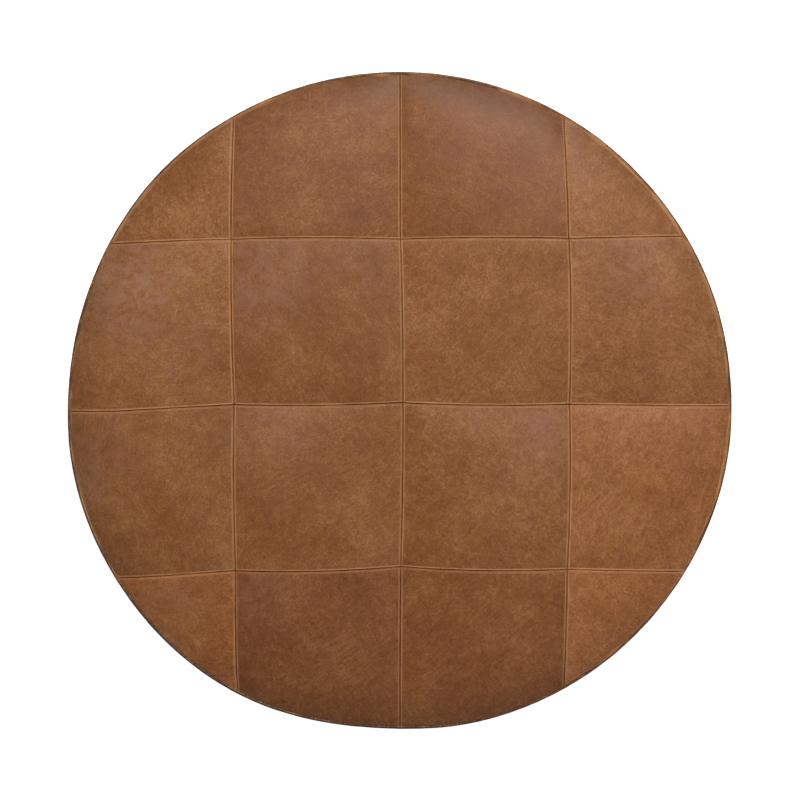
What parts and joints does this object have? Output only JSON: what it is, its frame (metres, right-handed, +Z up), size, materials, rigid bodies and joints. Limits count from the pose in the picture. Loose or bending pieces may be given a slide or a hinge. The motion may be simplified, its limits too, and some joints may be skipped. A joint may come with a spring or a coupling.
{
  "type": "round leather pouf",
  "caption": "Round boxed floor pouf with a patchwork leather top, piped edges, panelled side, foam filling and a zip round the back of its foot.",
  "frame": {"origin": "on the floor, under the middle of the pouf", "axes": "+Z up through the middle of the top, -Y to the front, +X to the right. The zip runs round the back half, on the +Y side"},
  "size_m": [1, 1, 0.4],
  "materials": {
    "leather_top": "satin",
    "leather_side": "satin",
    "leather_piping": "satin",
    "cotton_cord": "matte",
    "base_canvas": "matte",
    "calico": "matte",
    "fibre_wadding": "matte",
    "foam_soft": "matte",
    "foam_firm": "matte",
    "zip_tape": "matte",
    "zip_brass": "satin"
  },
  "bodies": {
    "pouf": {"top_patch_a1": "leather_top", "top_patch_a2": "leather_top", "top_patch_a3": "leather_top", "top_patch_a4": "leather_top", "top_patch_b1": "leather_top", "top_patch_b2": "leather_top", "top_patch_b3": "leather_top", "top_patch_b4": "leather_top", "top_patch_c1": "leather_top", "top_patch_c2": "leather_top", "top_patch_c3": "leather_top", "top_patch_c4": "leather_top", "top_patch_d1": "leather_top", "top_patch_d2": "leather_top", "top_patch_d3": "leather_top", "top_patch_d4": "leather_top", "side_panel_01": "leather_side", "side_panel_02": "leather_side", "side_panel_03": "leather_side", "side_panel_04": "leather_side", "side_panel_05": "leather_side", "side_panel_06": "leather_side", "side_panel_07": "leather_side", "side_panel_08": "leather_side", "side_panel_09": "leather_side", "side_panel_10": "leather_side", "side_panel_11": "leather_side", "side_panel_12": "leather_side", "top_piping": "leather_piping", "top_piping_cord": "cotton_cord", "base_piping": "leather_piping", "base_piping_cord": "cotton_cord", "foot_strip_right": "leather_side", "foot_strip_left": "leather_side", "base_panel": "base_canvas", "quilt_wadding": "fibre_wadding", "quilt_backing": "calico", "liner_top": "calico", "liner_side": "calico", "liner_base": "calico", "wadding_top": "fibre_wadding", "wadding_side": "fibre_wadding", "foam_top": "foam_soft", "foam_core": "foam_firm", "zip_tape_upper": "zip_tape", "zip_tape_lower": "zip_tape", "zip_teeth_upper": "zip_brass", "zip_teeth_lower": "zip_brass", "zip_top_stop_upper": "zip_brass", "zip_top_stop_lower": "zip_brass", "zip_bottom_stop": "zip_brass", "zip_end_tab_right": "leather_side", "zip_end_tab_left": "leather_side"},
    "zip_slider": {"zip_slider": "zip_brass"},
    "zip_pull": {"zip_pull": "zip_brass", "pull_thong": "leather_piping"}
  },
  "joints": [
    {"name": "slider_travel", "type": "hinge", "parent": "pouf", "child": "zip_slider", "pos_m": [0, 0, 0.028], "axis": [0, 0, 1], "range_deg": [0, 171]},
    {"name": "pull_swing", "type": "hinge", "parent": "zip_slider", "child": "zip_pull", "pos_m": [0.49607, 0.026, 0.028], "axis": [0, 0, -1], "range_deg": [0, 160]}
  ]
}
